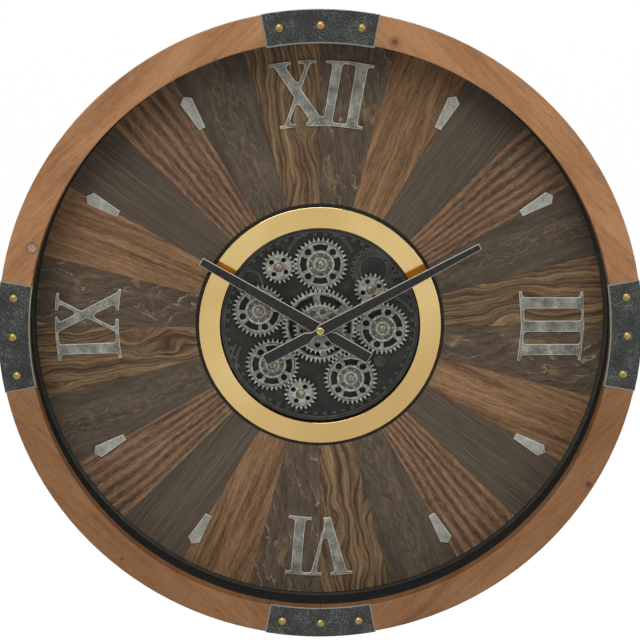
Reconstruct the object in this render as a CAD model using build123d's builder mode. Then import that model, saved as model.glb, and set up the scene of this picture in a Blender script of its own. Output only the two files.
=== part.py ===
"""Wooden gear wall clock, 800 mm across, modelled as separate pieces.

Frame: +Z up, the clock faces -Y, the wall is the plane Y = 0 and the hands turn about the Y axis.
Every height below is a distance forward from the wall, and every angle on the dial is in degrees
clockwise from twelve, as seen from the front. All sizes are in millimetres.
"""

import os
from math import acos, asin, cos, degrees, pi, radians, sin, tan

from build123d import *

# ---- case and wooden rim ----
rim_outer_r = 400.0
case_setback = 5.0
case_depth = 67.0
case_wall = 27.0
block_count = 8
block_length = 30.0
block_side = 14.0
rim_width = 37.2
rim_thickness = 18.0
rim_joint_gap = 0.2
# ---- metal straps over the rim joints ----
strap_half_angle = 10.3
strap_thickness = 0.8
strap_side_length = 18.0
strap_width = 39.0
nail_inset = 17.8
nail_spacing = 7.43
nail_r = 5.2
nail_height = 2.8
nail_edge = 1.9
# ---- dial ----
board_back = 23.3
board_thickness = 6.0
board_gap = 0.3
veneer_thickness = 2.0
dial_border = 6.5
wedge_count = 24
# ---- bright ring and gear well ----
well_inner_r = 128.3
well_wall = 1.7
well_flange = 30.2
well_floor = 18.0
well_gap = 0.3
bright_ring_border = 4.4
bright_ring_lip = 0.5
bright_ring_thickness = 2.0
# ---- numerals and hour markers ----
numeral_border = 24.1
numeral_height = 80.9
numeral_thickness = 2.0
serif_thickness = 3.8
bracket_r = 3.4
marker_length = 45.7
marker_point = 6.1
marker_inner_width = 8.5
marker_shoulder_width = 16.6
# ---- cast backplate behind the gears ----
backplate_thickness = 3.0
hub_boss_r = 7.5
# ---- gear train ----
centre_distance = 80.0
centre_teeth = 50
wheel_teeth = 34
pinion_teeth = 20
pressure_angle = 20.0
gear_clearance = 3.0
gear_thickness = 3.0
centre_addendum = 1.38
centre_dedendum = 4.02
wheel_addendum = 2.22
wheel_dedendum = 2.38
pinion_addendum = 2.15
pinion_dedendum = 2.05
pinion_play = 1.57
flank_play = 0.39
pinion_flank_gain = 0.31
running = 0.06
wheel_rim = 4.0
window_width = 7.8
window_span = 46.0
wheel_hole_r = 4.6
pinion_hole_r = 3.4
pinion_rim = 2.6
centre_rim = 3.4
centre_window_inner_r = 24.0
centre_windows = 6
centre_window_shift = 7.0
centre_window_span = 46.0
axle_r = 3.0
axle_collar_r = 5.5
cap_r = 4.9
cap_height = 1.8
cap_edge = 0.8
spacer_gap = 0.3
# ---- these round forms are cut with so many sides, which keeps the mesh light ----
ring_sides = 72
round_sides = 12
small_sides = 8
# ---- upper wheel, carried above the centre wheel ----
sleeve_length = 11.0
sleeve_r = 8.0
upper_hole_r = 4.3
upper_rim = 3.9
upper_holes = 10
# ---- movement, hands and their shafts ----
movement_side = 56.0
movement_thickness = 14.0
movement_wall = 1.5
movement_front_wall = 1.2
shaft_seat = 10.0
bush_r = 4.0
bush_end = 0.3
bush_nut_r = 6.6
bush_nut_height = 2.4
hour_tube_r = 3.1
minute_shaft_r = 1.7
hand_thickness = 2.0
hand_bevel = 0.8
hour_hand_rise = 5.0
hand_spacing = 3.5
hour_hand_length = 173.5
hour_hand_tail = 73.0
hour_hand_width = 16.4
hour_hand_tip_width = 10.5
hour_hand_angle = 300.7
minute_hand_length = 227.0
minute_hand_tail = 80.0
minute_hand_width = 15.2
minute_hand_tip_width = 8.4
minute_hand_angle = 61.6
tail_width = 15.0
neck_width = 7.6
neck_start = 2.0
neck_end = 19.0
neck_flat = 5.0
hub_nut_r = 4.6
hub_nut_height = 6.2
hub_nut_edge = 0.8
cell_r = 7.05
cell_length = 49.2
cell_nub_r = 2.7
cell_nub_length = 1.3
cell_gap = 0.35
knob_r = 8.5
knob_thickness = 2.6
knob_stem_r = 2.0
knob_stem_length = 4.0
knob_rise = 8.0
# ---- gear motor and its battery box ----
motor_length = 50.0
motor_width = 44.0
motor_thickness = 15.0
motor_can_r = 8.5
motor_can_length = 24.0
box_rise = 75.0
box_wall = 2.4
box_floor = 0.8
box_back = 0.5
box_lip = 0.7
door_thickness = 1.0
door_groove = 1.2
door_gap = 0.2
switch_bay = 14.0
switch_back = 3.0
switch_width = 4.0
switch_length = 6.0
switch_stand = 2.0
switch_depth = 3.0
switch_travel = 4.0
# ---- hanger ----
hanger_width = 60.0
hanger_height = 24.0
hanger_thickness = 1.6
keyhole_r = 5.0
keyhole_slot_r = 2.6
keyhole_rise = 9.0
hanger_pocket_depth = 10.0

# ---- places worked out from the sizes above ----
rim_front = case_depth + rim_thickness
rim_inner_r = rim_outer_r - rim_width
case_outer_r = rim_outer_r - case_setback
case_wall_r = case_outer_r - case_wall
strap_inner_r = rim_outer_r - strap_width
nail_circle_r = rim_outer_r - nail_inset
veneer_outer_r = case_wall_r - dial_border
numeral_outer_r = veneer_outer_r - numeral_border
numeral_inner_r = numeral_outer_r - numeral_height
marker_tip_r = numeral_outer_r
marker_shoulder_r = marker_tip_r - marker_point
marker_inner_r = marker_tip_r - marker_length
board_front = board_back + board_thickness
dial_face = board_front + veneer_thickness
well_outer_r = well_inner_r + well_wall
well_flange_r = well_inner_r + well_flange
bright_ring_outer_r = well_flange_r - bright_ring_border
bright_ring_inner_r = well_inner_r - bright_ring_lip
backplate_front = well_floor + backplate_thickness
gear_back = backplate_front + gear_clearance
gear_front = gear_back + gear_thickness
gear_module = 2 * centre_distance / (centre_teeth + wheel_teeth)
centre_pitch_r = gear_module * centre_teeth / 2
wheel_pitch_r = gear_module * wheel_teeth / 2
pinion_pitch_r = gear_module * pinion_teeth / 2
centre_tip_r = centre_pitch_r + centre_addendum
centre_root_r = centre_pitch_r - centre_dedendum
wheel_tip_r = wheel_pitch_r + wheel_addendum
wheel_root_r = wheel_pitch_r - wheel_dedendum
pinion_tip_r = pinion_pitch_r + pinion_addendum
pinion_root_r = pinion_pitch_r - pinion_dedendum
pinion_distance = wheel_pitch_r + pinion_pitch_r + pinion_play
wheel_flank = pi * gear_module / 2 - flank_play
pinion_flank = pi * gear_module / 2 + pinion_flank_gain
window_r = wheel_root_r - wheel_rim - window_width / 2
pinion_hole_circle = pinion_root_r - pinion_rim - pinion_hole_r
centre_rim_r = centre_root_r - centre_rim
upper_hole_circle = wheel_root_r - upper_rim - upper_hole_r
upper_back = gear_front + sleeve_length
bush_nut_back = upper_back + gear_thickness + spacer_gap
bush_top = bush_nut_back + bush_nut_height + bush_end
hour_hand_back = bush_top + hour_hand_rise
minute_hand_back = hour_hand_back + hand_thickness + hand_spacing
wedge_angle = 360 / wedge_count
cap_back = gear_front + spacer_gap
movement_back = well_floor - movement_thickness
movement_cell_height = well_floor - movement_front_wall - cell_r - cell_gap
movement_cell_z = -movement_side / 2 + movement_wall + cell_r + cell_gap
box_cell_height = well_floor - box_floor - cell_r - cell_gap
cell_span = cell_length + cell_nub_length
cell_pitch = 2 * cell_r + cell_gap
hour_tube_top = hour_hand_back + hand_thickness + spacer_gap
minute_nut_back = minute_hand_back + hand_thickness


def clock_point(radius, angle, centre=(0, 0)):
    """Point at a radius and a clock angle around a centre on the dial plane."""
    return (centre[0] + radius * sin(radians(angle)), centre[1] + radius * cos(radians(angle)))


def level(height, centre=(0, 0), turn=0.0):
    """Plane parallel to the wall, facing the viewer, turned clockwise about its centre."""
    along = (cos(radians(turn)), 0, -sin(radians(turn)))
    return Plane(origin=(centre[0], -height, centre[1]), x_dir=along, z_dir=(0, -1, 0))


def ring(outer, inner):
    """Draws a flat ring with straight runs, whose corners lie on its two circles."""
    RegularPolygon(outer, ring_sides)
    RegularPolygon(inner, ring_sides, mode=Mode.SUBTRACT)


def ring_sector(inner, outer, start, end, mode=Mode.ADD):
    """Draws the piece of a ring between two clock angles."""
    with BuildLine() as outline:
        CenterArc((0, 0), outer, 90 - end, end - start)
        CenterArc((0, 0), inner, 90 - end, end - start)
        Line(clock_point(inner, start), clock_point(outer, start))
        Line(clock_point(inner, end), clock_point(outer, end))
    make_face(outline.edges(), mode=mode)


def ring_runs(inner, outer, start, end, runs, mode=Mode.ADD):
    """Draws the piece of a ring between two clock angles, its curved sides in straight runs."""
    turns = [start + (end - start) * step / runs for step in range(runs + 1)]
    corners = [clock_point(inner, turn) for turn in turns] + [clock_point(outer, turn) for turn in turns[::-1]]
    with BuildLine() as outline:
        Polyline(*corners, close=True)
    make_face(outline.edges(), mode=mode)


def ring_window(middle_r, width, middle, span):
    """Cuts a window that follows a circle."""
    ring_runs(middle_r - width / 2, middle_r + width / 2, middle - span / 2, middle + span / 2, 2, Mode.SUBTRACT)


def shaft(radius, sides=round_sides):
    """Draws a shaft, which fits inside its radius."""
    RegularPolygon(radius, sides)


def bore(radius, sides=round_sides):
    """Cuts a bore that leaves running clearance round a shaft of this radius at every turn."""
    RegularPolygon(radius + running, sides, major_radius=False, mode=Mode.SUBTRACT)


def button(place, back, height, radius, front_edge):
    """Adds a small round button with a chamfered front."""
    with BuildPart(mode=Mode.PRIVATE) as form:
        with BuildSketch(level(back, place)):
            RegularPolygon(radius, small_sides)
        extrude(amount=height)
        chamfer(form.faces().sort_by(Axis.Y)[0].edges(), front_edge)
    add(form.part)


def save(part, name):
    part.label = name
    export_step(part, f"parts/{name}.step")


os.makedirs("parts", exist_ok=True)

# ---- wooden rim: four quarters of board, butted under the straps ----
with BuildPart() as wood_rim:
    half_gap = degrees(rim_joint_gap / 2 / rim_outer_r)
    with BuildSketch(level(case_depth)):
        for quarter in range(4):
            ring_sector(rim_inner_r, rim_outer_r, 90 * quarter + half_gap, 90 * quarter + 90 - half_gap)
    extrude(amount=rim_thickness)
save(wood_rim.part, "wood_rim")

# ---- black case drum with a pocket for the hanger, and the blocks glued behind the dial board ----
hanger_z = (case_wall_r + case_outer_r) / 2
with BuildPart() as case_drum:
    with BuildSketch(level(0)):
        Circle(case_outer_r)
        Circle(case_wall_r, mode=Mode.SUBTRACT)
    extrude(amount=case_depth)
    with BuildSketch(level(0, (0, hanger_z))):
        Rectangle(hanger_width, hanger_height)
    extrude(amount=hanger_thickness, mode=Mode.SUBTRACT)
    with BuildSketch(level(hanger_thickness, (0, hanger_z))):
        Rectangle(hanger_width / 2, hanger_height / 2)
    extrude(amount=hanger_pocket_depth, mode=Mode.SUBTRACT)
save(case_drum.part, "case_drum")

with BuildPart() as glue_blocks:
    block_edge_r = (case_wall_r ** 2 - block_length ** 2 / 4) ** 0.5
    for block in range(block_count):
        turn = 360 / block_count * (block + 0.5)
        with BuildSketch(level(board_back - block_side, clock_point(block_edge_r - block_side / 2, turn), turn)):
            Rectangle(block_length, block_side)
    extrude(amount=block_side)
save(glue_blocks.part, "glue_blocks")

with BuildPart() as hanger_plate:
    with BuildSketch(level(0, (0, hanger_z))):
        Rectangle(hanger_width - 2 * door_gap, hanger_height - 2 * door_gap)
        with Locations((0, -keyhole_rise / 2)):
            Circle(keyhole_r, mode=Mode.SUBTRACT)
            with Locations((0, keyhole_rise / 2)):
                Rectangle(2 * keyhole_slot_r, keyhole_rise, mode=Mode.SUBTRACT)
            with Locations((0, keyhole_rise)):
                RegularPolygon(keyhole_slot_r, round_sides, mode=Mode.SUBTRACT)
    extrude(amount=hanger_thickness)
save(hanger_plate.part, "hanger_plate")

# ---- straps: a leg over the face of the rim and a leg down its side ----
with BuildPart() as straps:
    for hour in range(4):
        start, end = 90 * hour - strap_half_angle, 90 * hour + strap_half_angle
        with BuildSketch(level(rim_front)):
            ring_sector(strap_inner_r, rim_outer_r, start, end)
        extrude(amount=strap_thickness)
        with BuildSketch(level(rim_front + strap_thickness)):
            ring_sector(rim_outer_r, rim_outer_r + strap_thickness, start, end)
        extrude(amount=-strap_side_length - strap_thickness)
save(straps.part, "straps")

with BuildPart() as strap_nails:
    for quarter in range(4):
        for step in (-1, 0, 1):
            place = clock_point(nail_circle_r, 90 * quarter + nail_spacing * step)
            button(place, rim_front + strap_thickness, nail_height, nail_r, nail_edge)
save(strap_nails.part, "strap_nails")

# ---- dial board and its sunburst of dark and light wedges ----
with BuildPart() as dial_board:
    with BuildSketch(level(board_back)):
        ring(case_wall_r - board_gap, well_outer_r + well_gap)
    extrude(amount=board_thickness)
save(dial_board.part, "dial_board")

for first, name in ((0, "dark_wedges"), (1, "light_wedges")):
    with BuildPart() as wedges:
        with BuildSketch(level(board_front)):
            for step in range(first, wedge_count, 2):
                ring_runs(well_flange_r, veneer_outer_r, wedge_angle * step, wedge_angle * (step + 1),
                          ring_sides // wedge_count)
        extrude(amount=veneer_thickness)
    save(wedges.part, name)

# ---- wall of the gear well, with its flange on the dial board, and the places of the wheels ----
places = {"centre": (0.0, 0.0)}
wheels = {"wheel_top": (0.4, 45.0), "wheel_right": (92.6, 18.0), "wheel_lower_right": (150.4, 46.0),
          "wheel_lower_left": (229.9, 48.0), "wheel_left": (284.1, 71.0)}
pinions = {"pinion_upper_left": ("wheel_top", 265.9, 34.0),
           "pinion_bottom": ("wheel_lower_left", 136.9, 32.0),
           "pinion_upper_right": ("wheel_right", 343.5, 66.0)}
for name, (direction, turn) in wheels.items():
    places[name] = clock_point(centre_distance, direction)
for name, (mate, direction, turn) in pinions.items():
    places[name] = clock_point(pinion_distance, direction, places[mate])
driven = "wheel_lower_right"
pinned = [name for name in places if name not in ("centre", driven)]

with BuildPart() as gear_well:
    with BuildSketch(level(board_front)):
        ring(well_flange_r, well_inner_r)
    extrude(amount=veneer_thickness)
    with BuildSketch(level(well_floor)):
        ring(well_outer_r, well_inner_r)
    extrude(amount=dial_face - well_floor)
save(gear_well.part, "gear_well")

with BuildPart() as bright_ring:
    with BuildSketch(level(dial_face)):
        ring(bright_ring_outer_r, bright_ring_inner_r)
    extrude(amount=bright_ring_thickness)
save(bright_ring.part, "bright_ring")


# ---- numerals: strokes between two circles, with serifs that follow those circles ----
def stroke(inner_u, outer_u, inner_width, outer_width):
    """Draws one stroke, given its middle and its width at the inner and the outer circle."""
    span = numeral_outer_r - numeral_inner_r
    edges = []
    for side in (-1, 1):
        inner = inner_u + side * inner_width / 2
        outer = outer_u + side * outer_width / 2
        slope = (outer - inner) / span
        edges.append(((inner - slope * span / 4, numeral_inner_r - span / 4),
                      (outer + slope * span / 4, numeral_outer_r + span / 4)))
    (left_low, left_high), (right_low, right_high) = edges
    with BuildLine() as outline:
        Polyline(left_low, left_high, right_high, right_low, close=True)
    make_face(outline.edges())


def serif(start_u, end_u, inner, outer):
    """Draws one serif that follows a circle of the dial."""
    ring_sector(inner, outer, degrees(asin(start_u / outer)), degrees(asin(end_u / outer)))


def numeral(turn, strokes, outer_serifs, inner_serifs):
    """Adds one numeral, its strokes bracketed into its serifs, each small arc cut as two straight runs."""
    with BuildSketch() as outline:
        for values in strokes:
            stroke(*values)
        Circle(numeral_outer_r, mode=Mode.INTERSECT)
        Circle(numeral_inner_r, mode=Mode.SUBTRACT)
        for start_u, end_u in outer_serifs:
            serif(start_u, end_u, numeral_outer_r - serif_thickness, numeral_outer_r)
        for start_u, end_u in inner_serifs:
            serif(start_u, end_u, numeral_inner_r, numeral_inner_r + serif_thickness)
        offset(amount=bracket_r, kind=Kind.INTERSECTION, mode=Mode.REPLACE)
        offset(amount=-bracket_r, kind=Kind.ARC, mode=Mode.REPLACE)
    with BuildPart(mode=Mode.PRIVATE) as plate:
        with BuildSketch(level(dial_face, turn=turn)):
            for face in outline.sketch_local.faces():
                wires = [(face.outer_wire(), Mode.ADD)]
                wires += [(wire, Mode.SUBTRACT) for wire in face.inner_wires()]
                for wire, mode in wires:
                    corners = []
                    for edge in wire.order_edges():
                        corners += [edge @ 0, edge @ 0.5] if edge.geom_type == GeomType.CIRCLE else [edge @ 0]
                    with BuildLine():
                        Polyline(*corners, close=True)
                    make_face(mode=mode)
        extrude(amount=numeral_thickness)
    add(plate.part)


with BuildPart() as numerals:
    numeral(0, [(-0.2, -55.7, 16.6, 13.9), (-41.6, -13.2, 4.2, 5.5),
                (8.9, 22.5, 10.8, 12.8), (39.2, 53.3, 13.6, 15.2)],
            [(-63.5, -36.1), (-27.4, -4.4), (7.3, 67.3)], [(-50.0, -29.7), (-17.6, 53.4)])
    numeral(90, [(-30.6, -30.6, 14.4, 14.4), (0.0, 0.0, 14.4, 14.4), (30.6, 30.6, 14.4, 14.4)],
            [(-45.3, 45.3)], [(-45.7, 45.7)])
    numeral(180, [(-9.2, -28.7, 9.6, 16.6), (-9.3, 10.0, 1.8, 6.6), (25.7, 32.5, 13.6, 13.2)],
            [(-43.2, -13.8), (-2.6, 46.6)], [(11.0, 41.4)])
    numeral(270, [(39.1, -2.1, 13.5, 11.2), (-5.8, 36.8, 4.8, 5.3), (-26.7, -29.5, 13.9, 13.2)],
            [(22.5, 45.0), (-44.3, 13.9)], [(22.1, 49.6), (-40.7, 10.7)])
save(numerals.part, "numerals")

with BuildPart() as hour_markers:
    for hour in range(12):
        if hour % 3:
            with BuildSketch(level(dial_face, turn=30 * hour)):
                with BuildLine():
                    half_inner, half_shoulder = marker_inner_width / 2, marker_shoulder_width / 2
                    Polyline((-half_inner, marker_inner_r), (-half_shoulder, marker_shoulder_r),
                             (0, marker_tip_r), (half_shoulder, marker_shoulder_r),
                             (half_inner, marker_inner_r), close=True)
                make_face()
    extrude(amount=numeral_thickness)
save(hour_markers.part, "hour_markers")


# ---- gear teeth with involute flanks ----
def involute(angle):
    return tan(angle) - angle


def tooth_half_angle(radius, teeth, thickness):
    """Half angle of a tooth at a radius, in degrees, from its thickness on the pitch circle."""
    pitch_r = gear_module * teeth / 2
    base_r = pitch_r * cos(radians(pressure_angle))
    flank = involute(acos(min(1.0, base_r / radius)))
    return degrees(thickness / (2 * pitch_r) + involute(radians(pressure_angle)) - flank)


def toothed_outline(teeth, tip_r, root_r, at_tip, at_root, first_tooth):
    """Draws a disc with straight-sided teeth, from the half angle of a tooth at its tip and root."""
    corners = []
    for tooth in range(teeth):
        middle = first_tooth + 360 / teeth * tooth
        corners.append(clock_point(root_r, middle - at_root))
        corners.append(clock_point(tip_r, middle - at_tip))
        corners.append(clock_point(tip_r, middle + at_tip))
        corners.append(clock_point(root_r, middle + at_root))
    with BuildLine() as outline:
        Polyline(*corners, close=True)
    make_face(outline.edges())


def toothed_disc(teeth, tip_r, root_r, thickness, first_tooth):
    """Draws a gear whose tooth corners lie on involute flanks, its first tooth at a clock angle."""
    toothed_outline(teeth, tip_r, root_r, tooth_half_angle(tip_r, teeth, thickness),
                    tooth_half_angle(root_r, teeth, thickness), first_tooth)


def meshing_tooth(first_tooth, teeth, direction, mate_teeth):
    """Angle of the mate's first tooth that puts its teeth between these ones on the line of centres."""
    return direction + 180 - 180 / mate_teeth + (direction - first_tooth) * teeth / mate_teeth


centre_first_tooth = 0.0
first_tooth = {}
for name, (direction, turn) in wheels.items():
    first_tooth[name] = meshing_tooth(centre_first_tooth, centre_teeth, direction, wheel_teeth)
for name, (mate, direction, turn) in pinions.items():
    first_tooth[name] = meshing_tooth(first_tooth[mate], wheel_teeth, direction, pinion_teeth)

# ---- large wheels with four windows and four round holes ----
for name, (direction, turn) in wheels.items():
    with BuildPart() as wheel:
        with BuildSketch(level(gear_back, places[name])):
            toothed_disc(wheel_teeth, wheel_tip_r, wheel_root_r, wheel_flank, first_tooth[name])
            for step in range(4):
                ring_window(window_r, window_width, turn + 45 + 90 * step, window_span)
            with Locations(*[clock_point(window_r, turn + 90 * step) for step in range(4)]):
                RegularPolygon(wheel_hole_r, small_sides, mode=Mode.SUBTRACT)
            if name == driven:
                RegularPolygon(axle_r, round_sides, mode=Mode.SUBTRACT)
            else:
                bore(axle_r)
        extrude(amount=gear_thickness)
    save(wheel.part, name)

# ---- pinions with four round holes ----
for name, (mate, direction, turn) in pinions.items():
    with BuildPart() as pinion:
        with BuildSketch(level(gear_back, places[name])):
            toothed_disc(pinion_teeth, pinion_tip_r, pinion_root_r, pinion_flank, first_tooth[name])
            with Locations(*[clock_point(pinion_hole_circle, turn + 90 * step) for step in range(4)]):
                RegularPolygon(pinion_hole_r, small_sides, mode=Mode.SUBTRACT)
            bore(axle_r)
        extrude(amount=gear_thickness)
    save(pinion.part, name)

# ---- centre wheel, its sleeve and the upper wheel that turns with it ----
with BuildPart() as centre_wheel:
    with BuildSketch(level(gear_back)):
        toothed_disc(centre_teeth, centre_tip_r, centre_root_r, wheel_flank, centre_first_tooth)
        for step in range(centre_windows):
            middle = 360 / centre_windows * (step + 0.5) - centre_window_shift
            ring_window((centre_rim_r + centre_window_inner_r) / 2,
                        centre_rim_r - centre_window_inner_r, middle, centre_window_span)
        bore(bush_r)
    extrude(amount=gear_thickness)
save(centre_wheel.part, "centre_wheel")

with BuildPart() as centre_sleeve:
    with BuildSketch(level(gear_front)):
        shaft(sleeve_r)
        bore(bush_r)
    extrude(amount=upper_back - gear_front)
save(centre_sleeve.part, "centre_sleeve")

with BuildPart() as upper_wheel:
    with BuildSketch(level(upper_back)):
        toothed_disc(wheel_teeth, wheel_tip_r, wheel_root_r, wheel_flank, centre_first_tooth)
        with Locations(*[clock_point(upper_hole_circle, 9 + 360 / upper_holes * step)
                         for step in range(upper_holes)]):
            RegularPolygon(upper_hole_r, small_sides, mode=Mode.SUBTRACT)
        bore(bush_r)
    extrude(amount=gear_thickness)
save(upper_wheel.part, "upper_wheel")

# ---- cast backplate: a boss and an axle under each wheel, and the seat of the bush ----
with BuildPart() as gear_backplate:
    with BuildSketch(level(well_floor)):
        RegularPolygon(well_inner_r, ring_sides)
    extrude(amount=backplate_thickness)
    with BuildSketch(level(backplate_front)):
        with Locations(*[places[name] for name in pinned]):
            RegularPolygon(axle_collar_r, small_sides)
        RegularPolygon(hub_boss_r, small_sides)
    extrude(amount=gear_back - spacer_gap - backplate_front)
    with BuildSketch(level(backplate_front)):
        with Locations(*[places[name] for name in pinned]):
            RegularPolygon(axle_r, round_sides)
    extrude(amount=cap_back - backplate_front)
    with BuildSketch(level(well_floor)):
        RegularPolygon(bush_r, round_sides)
        with Locations(places[driven]):
            RegularPolygon(axle_r + running, round_sides, major_radius=False)
    extrude(amount=gear_back - well_floor, mode=Mode.SUBTRACT)
save(gear_backplate.part, "gear_backplate")

# ---- caps on the ends of the axles ----
for name, caps in (("axle_caps", pinned), ("drive_cap", [driven])):
    with BuildPart() as cap:
        for wheel in caps:
            button(places[wheel], cap_back, cap_height, cap_r, cap_edge)
    save(cap.part, name)

with BuildPart() as drive_shaft:
    with BuildSketch(level(shaft_seat, places[driven])):
        shaft(axle_r)
    extrude(amount=cap_back - shaft_seat)
save(drive_shaft.part, "drive_shaft")

# ---- quartz movement with its threaded bush and the trough for its cell ----
with BuildPart() as quartz_movement:
    with BuildSketch(level(movement_back)):
        Rectangle(movement_side, movement_side)
    extrude(amount=movement_thickness)
    with BuildSketch(level(well_floor)):
        shaft(bush_r)
    extrude(amount=bush_top - well_floor)
    with BuildSketch(level(shaft_seat)):
        RegularPolygon(hour_tube_r + running, round_sides, major_radius=False)
    extrude(amount=bush_top - shaft_seat, mode=Mode.SUBTRACT)
    with BuildSketch(level(movement_back, (0, knob_rise))):
        RegularPolygon(knob_stem_r + running, small_sides, major_radius=False)
    extrude(amount=knob_stem_length + spacer_gap, mode=Mode.SUBTRACT)
    with BuildSketch(Plane(origin=(0, -movement_cell_height, movement_cell_z),
                           x_dir=(0, 1, 0), z_dir=(1, 0, 0))):
        RegularPolygon(cell_r + cell_gap, round_sides, major_radius=False)
        with Locations((movement_thickness / 2, 0)):
            Rectangle(movement_thickness, 2 * (cell_r + cell_gap))
    extrude(amount=cell_span / 2 + cell_gap, both=True, mode=Mode.SUBTRACT)
save(quartz_movement.part, "quartz_movement")

with BuildPart() as bush_nut:
    with BuildSketch(level(bush_nut_back)):
        RegularPolygon(bush_nut_r, 6)
        RegularPolygon(bush_r, round_sides, mode=Mode.SUBTRACT)
    extrude(amount=bush_nut_height)
save(bush_nut.part, "bush_nut")

# ---- one round cell, lying along the X axis ----
with BuildPart() as cell:
    with BuildSketch(Plane.YZ.offset(-cell_span / 2)):
        RegularPolygon(cell_r, round_sides)
    extrude(amount=cell_length)
    with BuildSketch(Plane.YZ.offset(cell_span / 2 - cell_nub_length)):
        RegularPolygon(cell_nub_r, small_sides)
    extrude(amount=cell_nub_length)
with BuildPart() as movement_cell:
    with Locations((0, -movement_cell_height, movement_cell_z)):
        add(cell.part)
save(movement_cell.part, "movement_cell")

with BuildPart() as setting_knob:
    with BuildSketch(level(movement_back - spacer_gap, (0, knob_rise))):
        RegularPolygon(knob_r, round_sides)
    extrude(amount=-knob_thickness)
    with BuildSketch(level(movement_back - spacer_gap, (0, knob_rise))):
        shaft(knob_stem_r, small_sides)
    extrude(amount=knob_stem_length)
save(setting_knob.part, "setting_knob")

# ---- shafts of the hands ----
with BuildPart() as hour_tube:
    with BuildSketch(level(shaft_seat + spacer_gap)):
        shaft(hour_tube_r)
        bore(minute_shaft_r, small_sides)
    extrude(amount=hour_tube_top - shaft_seat - spacer_gap)
save(hour_tube.part, "hour_tube")

with BuildPart() as minute_shaft:
    with BuildSketch(level(shaft_seat + spacer_gap)):
        shaft(minute_shaft_r, small_sides)
    extrude(amount=minute_nut_back - shaft_seat - spacer_gap)
save(minute_shaft.part, "minute_shaft")


def hand(name, back, angle, length, width, tip_width, tail, bore_r, bore_sides):
    """Tapered hand with a waist behind its bore and a straight tail."""
    with BuildPart() as blade:
        with BuildSketch(level(back, turn=angle)):
            with BuildLine():
                middle = -(neck_end - neck_start) / 2
                half = [(tail_width / 2, -tail), (tail_width / 2, -neck_end), (neck_width / 2, middle - neck_flat / 2),
                        (neck_width / 2, middle + neck_flat / 2), (width / 2, neck_start), (tip_width / 2, length)]
                Polyline(*half, *[(-x, y) for x, y in half[::-1]], close=True)
            make_face()
        extrude(amount=hand_thickness)
        chamfer(blade.faces().sort_by(Axis.Y)[0].edges(), hand_bevel)
        with BuildSketch(level(back)):
            RegularPolygon(bore_r, bore_sides)
        extrude(amount=hand_thickness, mode=Mode.SUBTRACT)
    save(blade.part, name)


hand("hour_hand", hour_hand_back, hour_hand_angle, hour_hand_length,
     hour_hand_width, hour_hand_tip_width, hour_hand_tail, hour_tube_r, round_sides)
hand("minute_hand", minute_hand_back, minute_hand_angle, minute_hand_length,
     minute_hand_width, minute_hand_tip_width, minute_hand_tail, minute_shaft_r, small_sides)

with BuildPart() as hub_nut:
    button((0, 0), minute_nut_back, hub_nut_height, hub_nut_r, hub_nut_edge)
save(hub_nut.part, "hub_nut")

# ---- gear motor behind the driven wheel ----
with BuildPart() as gear_motor:
    with BuildSketch(level(well_floor - motor_thickness, places[driven])):
        Rectangle(motor_width, motor_length)
    extrude(amount=motor_thickness)
    can_start = places[driven][0] + motor_width / 2
    with BuildSketch(Plane(origin=(can_start, -(well_floor - motor_thickness / 2 - 1), places[driven][1]),
                           x_dir=(0, 1, 0), z_dir=(1, 0, 0))):
        RegularPolygon(motor_can_r, round_sides)
    extrude(amount=motor_can_length)
    with BuildSketch(level(shaft_seat - spacer_gap, places[driven])):
        RegularPolygon(axle_r + running, round_sides, major_radius=False)
    extrude(amount=well_floor - shaft_seat + spacer_gap, mode=Mode.SUBTRACT)
save(gear_motor.part, "gear_motor")

# ---- battery box with a sliding door and a slide switch ----
pocket_length = cell_span + 2 * cell_gap
pocket_width = 2 * cell_pitch + cell_gap
box_length = pocket_length + 2 * box_wall
box_width = pocket_width + 2 * box_wall
groove_back = box_back + box_lip
door_back = groove_back + door_gap
switch_x = -box_length / 2 - switch_bay / 2
with BuildPart() as battery_box:
    with BuildSketch(level(box_back, (0, box_rise))):
        Rectangle(box_length, box_width)
    extrude(amount=well_floor - box_back)
    with BuildSketch(level(switch_back, (switch_x, box_rise))):
        Rectangle(switch_bay, box_width)
    extrude(amount=well_floor - switch_back)
    with BuildSketch(level(box_back, (0, box_rise))):
        Rectangle(pocket_length, pocket_width)
    extrude(amount=well_floor - box_floor - box_back, mode=Mode.SUBTRACT)
    groove_start = -pocket_length / 2 - door_groove
    groove_length = box_length / 2 - groove_start
    with BuildSketch(level(groove_back, (groove_start + groove_length / 2, box_rise))):
        Rectangle(groove_length, pocket_width + 2 * door_groove)
    extrude(amount=door_thickness + 2 * door_gap, mode=Mode.SUBTRACT)
    with BuildSketch(level(box_back, (box_length / 2 - box_wall / 2, box_rise))):
        Rectangle(box_wall, pocket_width)
    extrude(amount=box_lip, mode=Mode.SUBTRACT)
    with BuildSketch(level(switch_back, (switch_x, box_rise))):
        Rectangle(switch_width + 2 * door_gap, switch_length + switch_travel + 2 * door_gap)
    extrude(amount=switch_depth, mode=Mode.SUBTRACT)
save(battery_box.part, "battery_box")

with BuildPart() as battery_cells:
    with Locations(Location((0, -box_cell_height, box_rise + cell_pitch / 2)),
                   Location((0, -box_cell_height, box_rise - cell_pitch / 2), (0, 180, 0))):
        add(cell.part)
save(battery_cells.part, "battery_cells")

with BuildPart() as battery_door:
    door_start = groove_start + door_gap
    door_length = box_length / 2 - door_start
    with BuildSketch(level(door_back, (door_start + door_length / 2, box_rise))):
        Rectangle(door_length, pocket_width + 2 * (door_groove - door_gap))
    extrude(amount=door_thickness)
save(battery_door.part, "battery_door")

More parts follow.
